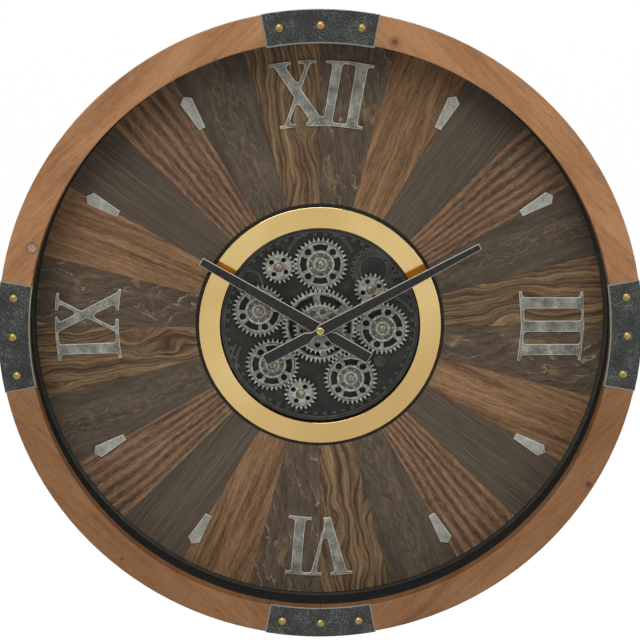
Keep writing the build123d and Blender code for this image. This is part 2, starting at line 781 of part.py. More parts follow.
with BuildPart() as power_switch:
    with BuildSketch(level(switch_back + switch_depth - door_gap,
                           (switch_x, box_rise - switch_travel / 2))):
        Rectangle(switch_width, switch_length)
    extrude(amount=-(switch_stand + switch_depth - door_gap))
save(power_switch.part, "power_switch")
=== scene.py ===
from math import cos, pi, radians, sin

import bmesh
import bpy
from mathutils import Matrix, Vector


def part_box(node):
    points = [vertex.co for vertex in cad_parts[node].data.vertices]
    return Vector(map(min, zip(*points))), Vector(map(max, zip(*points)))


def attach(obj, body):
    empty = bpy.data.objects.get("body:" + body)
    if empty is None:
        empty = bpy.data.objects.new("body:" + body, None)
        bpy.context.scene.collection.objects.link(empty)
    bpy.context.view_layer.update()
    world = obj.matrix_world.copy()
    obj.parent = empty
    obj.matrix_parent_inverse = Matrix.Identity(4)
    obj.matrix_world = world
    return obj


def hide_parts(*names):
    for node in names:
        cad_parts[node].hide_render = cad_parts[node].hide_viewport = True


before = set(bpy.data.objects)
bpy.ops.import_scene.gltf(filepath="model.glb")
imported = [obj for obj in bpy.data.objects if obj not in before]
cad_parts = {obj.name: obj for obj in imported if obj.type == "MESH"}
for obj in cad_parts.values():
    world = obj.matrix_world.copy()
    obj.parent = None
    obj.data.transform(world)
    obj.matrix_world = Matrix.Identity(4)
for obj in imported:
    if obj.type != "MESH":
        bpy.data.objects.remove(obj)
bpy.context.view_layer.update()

# ---- Camera ----
# It stands a little above the clock's axis and looks down at the dial, as in the photograph.
# Its place, and its focal length in pixels of the photograph, fit the outlines of rim, dial and well.
camera_distance = 2.09229
camera_rise = radians(13.151)
camera_yaw = radians(-0.569)
camera_aim = Vector((-0.000584, -0.085, 0.021145))
camera_sensor = 36.0
camera_focal_pixels = 1685.52
frame_pixels = 640


def placed(name, data, place, direction):
    """Adds a camera or a lamp at a place, pointing in a direction."""
    item = bpy.data.objects.new(name, data)
    bpy.context.collection.objects.link(item)
    item.location = place
    item.rotation_mode = "QUATERNION"
    item.rotation_quaternion = direction.to_track_quat("-Z", "Y")
    return item


camera_back = Vector((sin(camera_yaw) * cos(camera_rise), -cos(camera_yaw) * cos(camera_rise),
                      sin(camera_rise)))
camera = placed("camera", bpy.data.cameras.new("camera"), camera_aim + camera_distance * camera_back,
                -camera_back)
camera.data.sensor_width = camera_sensor
camera.data.lens = camera_sensor * camera_focal_pixels / frame_pixels
bpy.context.scene.camera = camera
bpy.context.scene.view_settings.view_transform = "Standard"

# ---- Studio ----
# A pale floor under the clock, a white surround, and large soft lamps above it, to its side and behind it.
# The lamps are at a level at which the colours of the clock render about as they are written.
white = (1.0, 1.0, 1.0, 1.0)
floor_level = -1.25
floor_side = 60.0
floor_grey = (0.82, 0.82, 0.82, 1.0)
floor_roughness = 0.9
floor_glow_strength = 1.1
floor_glow_share = 0.72
surround_light = 0.36
sky_lamp_from = Vector((-0.45, -2.2, 2.1))
sky_lamp_strength = 2.3
sky_lamp_spread = radians(38)
lamps = {
    "side_lamp": (Vector((2.4, -2.2, 0.4)), 1.4, 14.0),
    "rear_lamp": (Vector((0.6, 2.6, 1.6)), 1.6, 40.0),
}


def node(tree, kind, inputs=None, **settings):
    """Adds a node with its settings, and links or sets each of its inputs."""
    made = tree.nodes.new(kind)
    for name, value in settings.items():
        setattr(made, name, value)
    for key, value in (inputs or {}).items():
        if isinstance(value, bpy.types.NodeSocket):
            tree.links.new(value, made.inputs[key])
        else:
            made.inputs[key].default_value = value
    return made


def calc(tree, operation, *values):
    """The result of one sum."""
    return node(tree, "ShaderNodeMath", dict(enumerate(values)), operation=operation).outputs[0]


def seen_directly(tree):
    """One for the camera and for what shows in metal, nothing for the light that falls on things."""
    path = node(tree, "ShaderNodeLightPath")
    shown = calc(tree, "MAXIMUM", path.outputs["Is Camera Ray"], path.outputs["Is Glossy Ray"])
    return calc(tree, "MAXIMUM", shown, path.outputs["Is Transmission Ray"])


surround = bpy.data.worlds.new("surround")
bpy.context.scene.world = surround
surround.use_nodes = True
surround_tree = surround.node_tree
surround_strength = calc(surround_tree, "MAXIMUM", seen_directly(surround_tree), surround_light)
surround_node = surround_tree.nodes["Background"]
surround_node.inputs["Color"].default_value = white
surround_tree.links.new(surround_strength, surround_node.inputs["Strength"])

floor_shape = bmesh.new()
bmesh.ops.create_grid(floor_shape, x_segments=1, y_segments=1, size=floor_side / 2,
                      matrix=Matrix.Translation((0, 0, floor_level)))
floor_mesh = bpy.data.meshes.new("floor")
floor_shape.to_mesh(floor_mesh)
floor_shape.free()
floor = bpy.data.objects.new("floor", floor_mesh)
bpy.context.collection.objects.link(floor)
floor_paint = bpy.data.materials.new("floor_paint")
floor_paint.use_nodes = True
floor_tree = floor_paint.node_tree
floor_shader = floor_tree.nodes["Principled BSDF"]
floor_shader.inputs["Base Color"].default_value = floor_grey
floor_shader.inputs["Roughness"].default_value = floor_roughness
floor_glow = node(floor_tree, "ShaderNodeEmission", {"Color": white, "Strength": floor_glow_strength})
floor_mix = node(floor_tree, "ShaderNodeMixShader", {
    0: calc(floor_tree, "MULTIPLY", seen_directly(floor_tree), floor_glow_share),
    1: floor_shader.outputs[0],
    2: floor_glow.outputs[0]})
floor_tree.links.new(floor_mix.outputs[0], floor_tree.nodes["Material Output"].inputs[0])
floor_mesh.materials.append(floor_paint)

sky_lamp = placed("sky_lamp", bpy.data.lights.new("sky_lamp", "SUN"), sky_lamp_from, -sky_lamp_from)
sky_lamp.data.energy = sky_lamp_strength
sky_lamp.data.angle = sky_lamp_spread
for lamp_name, (lamp_from, lamp_size, lamp_power) in lamps.items():
    lamp = placed(lamp_name, bpy.data.lights.new(lamp_name, "AREA"), lamp_from, -lamp_from)
    lamp.data.size = lamp_size
    lamp.data.energy = lamp_power

# ---- Wooden rim ----
# Four quarter boards of pine-like wood, sawn to the circle with the grain straight along each board.
# Their front edges are eased; the oiled face shows fine pores, three dark knots and one pale patch. The lower
# half is painted darker, as painted shade.
rim_edge = 0.0012
rim_face = 0.085
rim_boards = 4
rim_board_shift = 0.73
rim_joint = 0.004
same_point = 1e-6


def tone(red, green, blue):
    """A colour from its values as they show on a screen, 0 to 255."""
    return tuple(((value / 255 + 0.055) / 1.055) ** 2.4 for value in (red, green, blue)) + (1.0,)


rim_pale = tone(164, 122, 84)
rim_middle = tone(146, 104, 69)
rim_deep = tone(116, 78, 50)
rim_pore = tone(98, 62, 40)
# painted shade, multiplied over the lower boards
rim_painted_lower_shade = tone(205, 200, 194)
knots = [(0.373, 13.8, 0.0045), (0.393, 119.7, 0.0060), (0.388, 221.0, 0.0030)]
knot_heart = tone(78, 44, 28)
knot_ring_pitch = 2600.0
patch_place = (0.3715, 287.6)
patch_spread = (1 / 0.0062, 60.0, 1 / 0.0058)
patch_border = tone(84, 54, 38)
patch_dark = tone(118, 88, 74)
patch_pale = tone(168, 142, 128)


def clock_place(radius, turn, height):
    """A point at a radius, an angle clockwise from twelve in degrees and a height in front of the wall."""
    return Vector((radius * sin(radians(turn)), -height, radius * cos(radians(turn))))


def steep_edges(shape, steep):
    """The edges where two faces meet at more than an angle in degrees."""
    return [edge for edge in shape.edges
            if len(edge.link_faces) == 2 and edge.calc_face_angle() > radians(steep)]


def node_shape(source, joined=True):
    """The shape of a node of the frame as a closed mesh, each of its flat faces joined into one."""
    shape = bmesh.new()
    shape.from_mesh(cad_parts[source].data)
    bmesh.ops.remove_doubles(shape, verts=shape.verts, dist=same_point)
    if joined:
        bmesh.ops.dissolve_limit(shape, angle_limit=radians(0.5), verts=shape.verts, edges=shape.edges)
    return shape


def ease(shape, edges, width, segments=2):
    """Rounds edges off a little, so that they catch the light."""
    bmesh.ops.bevel(shape, geom=edges, offset=width, segments=segments, affect="EDGES", profile=0.5,
                    material=-1, clamp_overlap=True)


def finished(name, shape, steep=20):
    """Makes an object of a shape, smooth except along its steep edges, so that its flat faces shade flat."""
    bmesh.ops.recalc_face_normals(shape, faces=shape.faces)
    for face in shape.faces:
        face.smooth = True
    for edge in shape.edges:
        edge.smooth = len(edge.link_faces) == 2 and edge.calc_face_angle() < radians(steep)
    mesh = bpy.data.meshes.new(name)
    shape.to_mesh(mesh)
    shape.free()
    piece = bpy.data.objects.new(name, mesh)
    bpy.context.collection.objects.link(piece)
    return piece


def eased_copy(name, source, width, segments=2, steep=30, joined=True):
    """Copies a node of the frame with its sharp edges eased."""
    shape = node_shape(source, joined)
    ease(shape, steep_edges(shape, steep), width, segments)
    return finished(name, shape)


def dress(piece, body, material, slot_name, *nodes):
    """Gives a piece its body, its material and the nodes that it stands for."""
    piece.data.materials.clear()
    piece.data.materials.append(material)
    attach(piece, body)
    if nodes:
        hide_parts(*nodes)


def new_material(name, roughness, metallic=0.0, sheen=0.5):
    """A material with its shader, ready for its colour, and how strongly its surface mirrors."""
    material = bpy.data.materials.new(name)
    material.use_nodes = True
    shader = material.node_tree.nodes["Principled BSDF"]
    shader.inputs["Roughness"].default_value = roughness
    shader.inputs["Metallic"].default_value = metallic
    shader.inputs["Specular IOR Level"].default_value = sheen
    return material, material.node_tree, shader


def times(tree, first, *others):
    """The product of values."""
    for value in others:
        first = calc(tree, "MULTIPLY", first, value)
    return first


def weighted(tree, *pairs):
    """The sum of values, each times its weight."""
    total = 0.0
    for value, weight in pairs:
        total = calc(tree, "ADD", total, times(tree, value, weight))
    return total


def reach_of(tree, first, second):
    """How far a point lies from the middle, from its two sides."""
    return calc(tree, "SQRT", calc(tree, "ADD", times(tree, first, first), times(tree, second, second)))


def place_calc(tree, operation, *values):
    """A sum with places: its results as a place and as a number."""
    return node(tree, "ShaderNodeVectorMath", dict(enumerate(values)), operation=operation).outputs


def own_place(tree):
    """Where a point lies in the clock."""
    return node(tree, "ShaderNodeTexCoord").outputs["Object"]


def sides_of(tree, place):
    """The three sides of a place: to the right, in depth and up."""
    return node(tree, "ShaderNodeSeparateXYZ", {0: place}).outputs


def board_place(tree, boards):
    """Where a point lies on its own board round the dial, across, in depth and along, and its number."""
    right, depth, up = sides_of(tree, own_place(tree))
    radius = reach_of(tree, right, up)
    turn = calc(tree, "ARCTAN2", right, up)
    span = 2 * pi / boards
    number = calc(tree, "FLOOR", calc(tree, "DIVIDE", turn, span))
    offset = calc(tree, "SUBTRACT", turn, times(tree, calc(tree, "ADD", number, 0.5), span))
    across = times(tree, radius, calc(tree, "SINE", offset))
    along = times(tree, radius, calc(tree, "COSINE", offset))
    return across, depth, along, number


def noise(tree, sides, scales, detail=3.0, rough=0.55, warp=0.0):
    """Noise stretched by its own scale along each of three sides."""
    scaled = [times(tree, side, scale) for side, scale in zip(sides, scales)]
    vector = node(tree, "ShaderNodeCombineXYZ", dict(enumerate(scaled))).outputs[0]
    made = node(tree, "ShaderNodeTexNoise", {"Vector": vector, "Scale": 1.0, "Detail": detail,
                                             "Roughness": rough, "Distortion": warp})
    return made.outputs["Fac"]


def cloud(tree, scale, detail=4.0, rough=0.6):
    """Even noise over a piece."""
    made = node(tree, "ShaderNodeTexNoise", {"Vector": own_place(tree), "Scale": scale, "Detail": detail,
                                             "Roughness": rough})
    return made.outputs["Fac"]


def ramp(tree, factor, *stops):
    """A colour that runs through the given stops."""
    made = node(tree, "ShaderNodeValToRGB", {0: factor})
    while len(made.color_ramp.elements) < len(stops):
        made.color_ramp.elements.new(0.5)
    for element, (position, colour) in zip(made.color_ramp.elements, stops):
        element.position = position
        element.color = colour
    return made.outputs[0]


def between(tree, value, low, high):
    """Nothing at low, one at high, and a smooth rise between them."""
    made = node(tree, "ShaderNodeMapRange", {"Value": value, "From Min": low, "From Max": high},
                interpolation_type="SMOOTHSTEP")
    return made.outputs[0]


def blend(tree, factor, first, second, mode="MIX"):
    """Two colours mixed."""
    made = node(tree, "ShaderNodeMix", data_type="RGBA", blend_type=mode)
    for key, value in ((0, factor), (6, first), (7, second)):
        if isinstance(value, bpy.types.NodeSocket):
            tree.links.new(value, made.inputs[key])
        else:
            made.inputs[key].default_value = value
    return made.outputs[2]


def laid_over(tree, colour, cover, mask, share):
    """A colour with another over it where a mask is one, as strong as its share."""
    return blend(tree, times(tree, mask, share), colour, cover)


def give_colour(tree, shader, colour):
    """Joins a finished colour to the shader."""
    tree.links.new(colour, shader.inputs["Base Color"])


def relief(tree, shader, height, depth):
    """Raises the surface by a height from nothing to one, times a depth in metres."""
    bump = node(tree, "ShaderNodeBump", {"Height": height, "Strength": 1.0, "Distance": depth})
    tree.links.new(bump.outputs[0], shader.inputs["Normal"])


rim_wood, tree, shader = new_material("rim_wood", roughness=0.55, sheen=0.2)
across, depth, along, number = board_place(tree, rim_boards)
lift = times(tree, number, rim_board_shift)
run = calc(tree, "ADD", across, lift)
sway = noise(tree, (run, depth, along), (3.0, 5.0, 9.0), detail=2.0)
grain = (run, depth, weighted(tree, (along, 1.0), (lift, 1.0), (sway, 0.035)))
bands = noise(tree, grain, (2.4, 14.0, 120.0), detail=5.0, rough=0.66)
fibre = noise(tree, grain, (70.0, 420.0, 900.0), detail=4.0, rough=0.7)
pores = noise(tree, grain, (70.0, 300.0, 420.0), detail=2.0, rough=0.6)
blotch = noise(tree, grain, (9.0, 9.0, 26.0))
figure = weighted(tree, (bands, 0.34), (fibre, 0.36), (blotch, 0.30))
colour = ramp(tree, figure, (0.36, rim_deep), (0.49, rim_middle), (0.62, rim_pale))
colour = laid_over(tree, colour, rim_pore, between(tree, pores, 0.60, 0.74), 0.5)
rim_place = own_place(tree)
# Painted shade: the lower half of the rim, below the straps at three and nine, is darkened.
painted_lower_shade = between(tree, sides_of(tree, rim_place)[2], rim_joint, -rim_joint)
colour = blend(tree, painted_lower_shade, colour, blend(tree, 1.0, colour, rim_painted_lower_shade, "MULTIPLY"))
for knot_radius, knot_turn, knot_size in knots:
    away = place_calc(tree, "DISTANCE", rim_place, clock_place(knot_radius, knot_turn, rim_face))[1]
    away = weighted(tree, (away, 1.0), (fibre, 0.004), (1.0, -0.002))
    rings = calc(tree, "SINE", times(tree, away, knot_ring_pitch))
    colour = laid_over(tree, colour, rim_deep, between(tree, away, knot_size * 2.4, knot_size), 0.6)
    colour = laid_over(tree, colour, knot_heart, between(tree, away, knot_size, knot_size * 0.4),
                       weighted(tree, (rings, 0.12), (1.0, 0.85)))
away = place_calc(tree, "SUBTRACT", rim_place, clock_place(*patch_place, rim_face))[0]
away = place_calc(tree, "LENGTH", place_calc(tree, "MULTIPLY", away, patch_spread)[0])[1]
away = weighted(tree, (away, 1.0), (fibre, 0.5), (1.0, -0.25))
colour = blend(tree, between(tree, away, 1.22, 1.05), colour, patch_border)
colour = blend(tree, between(tree, away, 1.02, 0.88), colour,
               ramp(tree, fibre, (0.35, patch_dark), (0.62, patch_pale)))
give_colour(tree, shader, colour)
relief(tree, shader, weighted(tree, (figure, 0.8), (pores, -0.4)), depth=0.0007)

dress(eased_copy("wooden_rim", "wood_rim", rim_edge), "case", rim_wood, "rim_wood", "wood_rim")

# ---- Case drum ----
# A black painted board ring set back behind the wooden rim, with glue blocks behind the dial board.
# The hanger plate lies flush in its back at the top; the dial board is painted dark grey.
case_edge = 0.0008
board_edge = 0.0006
hanger_edge = 0.0002

case_paint, tree, shader = new_material("case_paint", roughness=0.6, sheen=0.2)
grain = cloud(tree, 260.0)
give_colour(tree, shader, ramp(tree, grain, (0.3, tone(20, 19, 18)), (0.7, tone(34, 32, 30))))
relief(tree, shader, grain, depth=0.0003)
dress(eased_copy("case_ring", "case_drum", case_edge, joined=False), "case", case_paint, "case_black",
      "case_drum")
dress(eased_copy("board_blocks", "glue_blocks", case_edge), "case", case_paint, "case_black", "glue_blocks")

board_paint, tree, shader = new_material("board_paint", roughness=0.6, sheen=0.2)
give_colour(tree, shader, ramp(tree, cloud(tree, 120.0), (0.3, tone(44, 44, 38)), (0.7, tone(60, 58, 51))))
dress(eased_copy("dial_base", "dial_board", board_edge), "case", board_paint, "case_black", "dial_board")

hanger_steel, tree, shader = new_material("hanger_steel", roughness=0.38, metallic=1.0)
lines = noise(tree, sides_of(tree, own_place(tree)), (30.0, 30.0, 900.0))
give_colour(tree, shader, ramp(tree, lines, (0.3, tone(120, 120, 118)), (0.7, tone(170, 170, 166))))
dress(eased_copy("hanger", "hanger_plate", hanger_edge), "case", hanger_steel, "steel", "hanger_plate")

# ---- Straps ----
# Four thin sheet metal straps folded over the rim where its boards meet, textured and painted nearly black.
# Grey is rubbed over the raised specks, in patches, and in a thin line along the cut edges.
strap_count = 4
strap_edge = 0.0003
strap_black = tone(24, 25, 24)
strap_grey = tone(54, 56, 53)
strap_rubbed = tone(132, 135, 126)
strap_line = 0.0013
strap_line_sway = 0.0014
strap_half_turn = radians(10.3)
strap_inner = 0.361

strap_iron, tree, shader = new_material("strap_iron", roughness=0.5, metallic=0.2, sheen=0.3)
across, _, along, _ = board_place(tree, strap_count)
radius = reach_of(tree, across, along)
turn = calc(tree, "ABSOLUTE", calc(tree, "ARCTAN2", across, along))
from_end = times(tree, calc(tree, "SUBTRACT", turn, pi / strap_count - strap_half_turn), radius)
from_edge = calc(tree, "MINIMUM", from_end, calc(tree, "SUBTRACT", radius, strap_inner))
specks = cloud(tree, 620.0, detail=3.0, rough=0.7)
patches = cloud(tree, 34.0, detail=3.0)
from_edge = weighted(tree, (from_edge, 1.0), (specks, -strap_line_sway))
figure = weighted(tree, (specks, 0.72), (patches, 0.28))
colour = ramp(tree, figure, (0.44, strap_black), (0.55, strap_grey), (0.72, strap_rubbed))
colour = laid_over(tree, colour, strap_rubbed, between(tree, from_edge, strap_line, 0.0), 0.85)
give_colour(tree, shader, colour)
relief(tree, shader, specks, depth=0.0009)
dress(eased_copy("iron_straps", "straps", strap_edge), "case", strap_iron, "strap_iron", "straps")

# ---- Strap nails ----
# Domed brass-washed nail heads, three to a strap, each turned from a quarter circle.
# The brass is cloudy, with copper showing in places.
nail_radius = 0.0052
nail_height = 0.0028
nail_ring = 0.3822
nail_turns = (-7.43, 0.0, 7.43)
nail_rows = 5
nail_sides = 20
strap_face = 0.0858


def turned(shape, profile, centre, steps, closed=False):
    """Adds a form turned from a profile of radius and height, about an axis that faces the front."""
    points = [shape.verts.new((centre.x + radius, -height, centre.z)) for radius, height in profile]
    rows = [shape.edges.new(pair) for pair in zip(points, points[1:] + points[:1] if closed else points[1:])]
    bmesh.ops.spin(shape, geom=points + rows, cent=centre, axis=(0, 1, 0), angle=2 * pi, steps=steps,
                   use_merge=True)


nail_brass, tree, shader = new_material("nail_brass", roughness=0.36, metallic=0.8)
colour = ramp(tree, cloud(tree, 420.0), (0.35, tone(104, 88, 44)), (0.65, tone(162, 142, 82)))
colour = blend(tree, between(tree, cloud(tree, 36.0, detail=2.0), 0.50, 0.62), colour, tone(156, 116, 84))
give_colour(tree, shader, colour)
nail_angles = [radians(90 / nail_rows * row) for row in range(nail_rows + 1)]
nail_profile = [(nail_radius * cos(angle), strap_face + nail_height * sin(angle)) for angle in nail_angles]
nail_shape = bmesh.new()
for quarter in range(strap_count):
    for nail_turn in nail_turns:
        turned(nail_shape, nail_profile, clock_place(nail_ring, 90 * quarter + nail_turn, 0), nail_sides)
bmesh.ops.remove_doubles(nail_shape, verts=nail_shape.verts, dist=same_point)
bmesh.ops.holes_fill(nail_shape, edges=nail_shape.edges)
dress(finished("nails", nail_shape), "case", nail_brass, "brass", "strap_nails")

# ---- Sunburst dial ----
# Twenty-four thin wedges of veneered board laid side by side, dark and light in turn, six woods in all.
# The grain of every wedge runs straight out along its middle line.
wedge_count = 24
wedge_inner = 0.1585
wedge_outer = 0.3615
wedge_back = 0.0293
wedge_front = 0.0313
wedge_edge = 0.0004
wedge_steps = 8
wedge_shift = 0.61
wedge_turn = 360 / wedge_count
wedge_woods = []


def wedge_wood(name):
    """Starts a wood: a point's place on its own wedge, moved on by its number, and its reach."""
    material, tree, shader = new_material(name, roughness=0.6, sheen=0.12)
    across, depth, reach, number = board_place(tree, wedge_count)
    moved = calc(tree, "ADD", reach, times(tree, number, wedge_shift))
    return material, tree, shader, (across, depth, moved), reach


def swayed(tree, place, sway, scales):
    """The place on the board, moved from side to side so that the grain sways."""
    drift = noise(tree, place, scales, detail=2.0)
    moved = weighted(tree, (place[0], 1.0), (drift, sway), (1.0, -0.5 * sway))
    return moved, place[1], place[2]


def veneer(material, tree, shader, colour, height, depth, *names):
    """Joins a finished wood to its shader and keeps it with the names of its wedges."""
    give_colour(tree, shader, colour)
    relief(tree, shader, height, depth)
    wedge_woods.append((material, *names))


# dark and swirled, in layers with thin pale edges that part round a few tan patches
material, tree, shader, place, reach = wedge_wood("wood_swirled")
place = swayed(tree, place, 0.05, (15, 1, 9))
bands = noise(tree, place, (130, 50, 22), detail=5.0, rough=0.7)
fibre = noise(tree, place, (640, 300, 110), detail=4.0, rough=0.7)
layers = noise(tree, place, (52, 10, 17), detail=4.0, rough=0.6, warp=0.2)
steps = calc(tree, "FRACT", weighted(tree, (place[0], 74.0), (place[2], 20.0), (layers, 4.0)))
edges = times(tree, between(tree, steps, 0.86, 0.98), between(tree, steps, 1.0, 0.985))
patches = between(tree, noise(tree, place, (48, 10, 30)), 0.44, 0.60)
tan_patches = between(tree, noise(tree, place[::-1], (30, 10, 44)), 0.60, 0.72)
figure = weighted(tree, (bands, 0.42), (fibre, 0.38), (steps, 0.10), (layers, 0.10))
colour = ramp(tree, figure, (0.36, tone(52, 43, 35)), (0.50, tone(73, 62, 51)), (0.64, tone(94, 79, 63)))
colour = laid_over(tree, colour, tone(122, 99, 68), tan_patches, 0.5)
colour = laid_over(tree, colour, tone(142, 129, 108), times(tree, edges, patches), 0.8)
veneer(material, tree, shader, colour, weighted(tree, (figure, 0.6), (steps, 0.4)), 0.0008,
       "wedges_swirled", "dark_wedges", "dark_wood")

# warm and light, with long soft dark streaks and fine fibres
material, tree, shader, place, reach = wedge_wood("wood_amber")
place = swayed(tree, place, 0.014, (14, 1, 9))
bands = noise(tree, place, (190, 60, 5.5), detail=4.0, rough=0.66)
fibre = noise(tree, place, (860, 300, 90), detail=4.0, rough=0.75)
broad = noise(tree, place, (70, 20, 8), detail=2.0)
figure = weighted(tree, (bands, 0.38), (fibre, 0.40), (broad, 0.22))
colour = ramp(tree, figure, (0.38, tone(62, 46, 33)), (0.46, tone(92, 69, 48)),
              (0.54, tone(118, 90, 64)), (0.66, tone(144, 113, 82)))
veneer(material, tree, shader, colour, figure, 0.0008, "wedges_amber", "light_wedges", "light_wood")

# dark and wire-brushed, in fine straight lines
material, tree, shader, place, reach = wedge_wood("wood_brushed")
place = swayed(tree, place, 0.004, (10, 1, 4))
bands = noise(tree, place, (640, 60, 5.0), rough=0.6)
fibre = noise(tree, place, (1300, 300, 40), detail=2.0, rough=0.6)
broad = noise(tree, place, (50, 20, 5), detail=2.0)
figure = weighted(tree, (bands, 0.52), (fibre, 0.30), (broad, 0.18))
colour = ramp(tree, figure, (0.36, tone(56, 48, 40)), (0.50, tone(73, 63, 53)), (0.64, tone(94, 82, 70)))
veneer(material, tree, shader, colour, figure, 0.0010, "wedges_brushed", "dark_wedges", "dark_wood")

# light and rippled, in long soft dark bands with warmer flecks between them
material, tree, shader, place, reach = wedge_wood("wood_rippled")
place = swayed(tree, place, 0.012, (14, 1, 6))
fanned = calc(tree, "DIVIDE", place[0], reach)
drift = noise(tree, place, (30, 10, 8), detail=2.0)
ripple = calc(tree, "SINE", weighted(tree, (fanned, 155.0), (drift, 2.0)))
bands = noise(tree, place, (110, 40, 7), rough=0.6)
fibre = noise(tree, place, (760, 300, 60), detail=4.0, rough=0.7)
flecks = noise(tree, place, (300, 90, 130), detail=2.0, rough=0.5)
figure = weighted(tree, (ripple, 0.075), (bands, 0.28), (fibre, 0.52), (flecks, 0.20))
colour = ramp(tree, figure, (0.36, tone(60, 47, 37)), (0.46, tone(84, 65, 50)),
              (0.56, tone(110, 85, 64)), (0.70, tone(136, 107, 80)))
colour = laid_over(tree, colour, tone(138, 100, 68), between(tree, flecks, 0.58, 0.70), 0.25)
veneer(material, tree, shader, colour, figure, 0.0010, "wedges_rippled", "light_wedges", "light_wood")

# dark and smooth, with a faint feathered figure in the middle
material, tree, shader, place, reach = wedge_wood("wood_smooth")
place = swayed(tree, place, 0.030, (20, 1, 12))
bands = noise(tree, place, (80, 40, 12), rough=0.6)
fibre = noise(tree, place, (800, 300, 70), detail=4.0, rough=0.65)
middle = between(tree, calc(tree, "ABSOLUTE", place[0]), 0.032, 0.004)
feather = noise(tree, place, (240, 60, 90), detail=4.0, rough=0.65)
feather = times(tree, between(tree, feather, 0.48, 0.64), middle)
figure = weighted(tree, (bands, 0.50), (fibre, 0.50))
colour = ramp(tree, figure, (0.36, tone(54, 46, 39)), (0.50, tone(69, 60, 50)), (0.64, tone(86, 75, 63)))
colour = laid_over(tree, colour, tone(112, 93, 72), feather, 0.55)
veneer(material, tree, shader, colour, figure, 0.0006, "wedges_smooth", "dark_wedges", "dark_wood")

# golden, with thin dark wavy lines and a few broad dark folds that part round small knots
material, tree, shader, place, reach = wedge_wood("wood_wavy")
place = swayed(tree, place, 0.045, (14, 1, 9))
knot_field = node(tree, "ShaderNodeCombineXYZ", {
    0: times(tree, place[0], 26.0), 1: 0.0, 2: times(tree, place[2], 11.0)}).outputs[0]
knot_reach = node(tree, "ShaderNodeTexVoronoi", {"Vector": knot_field, "Scale": 1.0}).outputs["Distance"]
parted = weighted(tree, (place[0], 1.0), (between(tree, knot_reach, 0.50, 0.05), 0.012))
place = (parted, place[1], place[2])
bands = noise(tree, place, (140, 60, 6.0), detail=4.0, rough=0.65)
fibre = noise(tree, place, (820, 300, 70), detail=4.0, rough=0.75)
lines = calc(tree, "ABSOLUTE", calc(tree, "SINE", weighted(tree, (parted, 470.0), (bands, 9.0))))
folds = calc(tree, "SINE", weighted(tree, (parted, 300.0), (bands, 6.0)))
figure = weighted(tree, (bands, 0.42), (fibre, 0.40), (lines, 0.12), (folds, 0.04))
colour = ramp(tree, figure, (0.36, tone(52, 40, 29)), (0.46, tone(82, 64, 46)),
              (0.56, tone(110, 89, 64)), (0.70, tone(140, 117, 86)))
colour = laid_over(tree, colour, tone(62, 46, 33), between(tree, lines, 0.34, 0.02),
                   between(tree, bands, 0.62, 0.42))
colour = laid_over(tree, colour, tone(54, 38, 27), between(tree, knot_reach, 0.13, 0.05), 0.7)
veneer(material, tree, shader, colour, figure, 0.0009, "wedges_wavy", "light_wedges", "light_wood")

for kind, (material, name, source, slot_name) in enumerate(wedge_woods):
    wedge_shape = bmesh.new()
    for turn in range(kind, wedge_count, len(wedge_woods)):
        ends = [wedge_shape.verts.new(clock_place(radius, turn * wedge_turn, wedge_back))
                for radius in (wedge_inner, wedge_outer)]
        side = wedge_shape.edges.new(ends)
        bmesh.ops.spin(wedge_shape, geom=ends + [side], cent=(0, 0, 0), axis=(0, 1, 0),
                       angle=radians(wedge_turn), steps=wedge_steps)
    raised = bmesh.ops.extrude_face_region(wedge_shape, geom=wedge_shape.faces[:])["geom"]
    raised = [item for item in raised if isinstance(item, bmesh.types.BMVert)]
    bmesh.ops.translate(wedge_shape, verts=raised, vec=(0, wedge_back - wedge_front, 0))
    front_edges = [edge for edge in steep_edges(wedge_shape, 60)
                   if min(-end.co.y for end in edge.verts) > (wedge_back + wedge_front) / 2]
    ease(wedge_shape, front_edges, wedge_edge, segments=1)
    dress(finished(name, wedge_shape), "case", material, slot_name, source)

# ---- Numerals and hour markers ----
# Flat cast numerals and tapered markers on the dial, darkened pewter, stippled, with bright rubbed edges.
# They lie flat on the wedges, and their front edges are eased.
numeral_edge = 0.0004
marker_edge = 0.0006
pewter_line = 0.0011
pewter_dark = tone(66, 66, 60)
pewter = tone(104, 104, 96)
pewter_pale = tone(152, 151, 141)
pewter_bright = tone(176, 174, 162)
marker_middle = tone(136, 136, 128)
marker_pale = tone(166, 165, 156)
faces_front = -0.99
leans_front = -0.9


def rubbed_copy(name, source, width):
    """Copies a node with its front edges eased and marks a line along them that is rubbed bright."""
    shape = node_shape(source)
    shape.normal_update()
    front_edges = [edge for edge in steep_edges(shape, 30)
                   if min(face.normal.y for face in edge.link_faces) < leans_front]
    ease(shape, front_edges, width)
    shape.normal_update()
    front = [face for face in shape.faces if face.normal.y < faces_front]
    rubbed = shape.verts.layers.float.new("rubbed")
    for end in shape.verts:
        end[rubbed] = 1.0
    bmesh.ops.inset_region(shape, faces=front, thickness=pewter_line, use_boundary=True,
                           use_even_offset=False)
    for face in front:
        for end in face.verts:
            end[rubbed] = 0.0
    return finished(name, shape)


def pewter_finish(name, dark, middle, pale):
    """Cast pewter, cloudy and stippled, bright where it is rubbed."""
    material, tree, shader = new_material(name, roughness=0.45, metallic=0.45, sheen=0.4)
    stipple = cloud(tree, 760.0, detail=2.0)
    clouds = cloud(tree, 70.0)
    figure = weighted(tree, (stipple, 0.45), (clouds, 0.55))
    colour = ramp(tree, figure, (0.34, dark), (0.50, middle), (0.66, pale))
    rub = node(tree, "ShaderNodeAttribute", attribute_name="rubbed").outputs["Fac"]
    rub = weighted(tree, (rub, 1.0), (clouds, 1.2), (1.0, -0.60))
    give_colour(tree, shader, laid_over(tree, colour, pewter_bright, between(tree, rub, 0.25, 0.95), 0.8))
    relief(tree, shader, stipple, depth=0.0003)
    return material


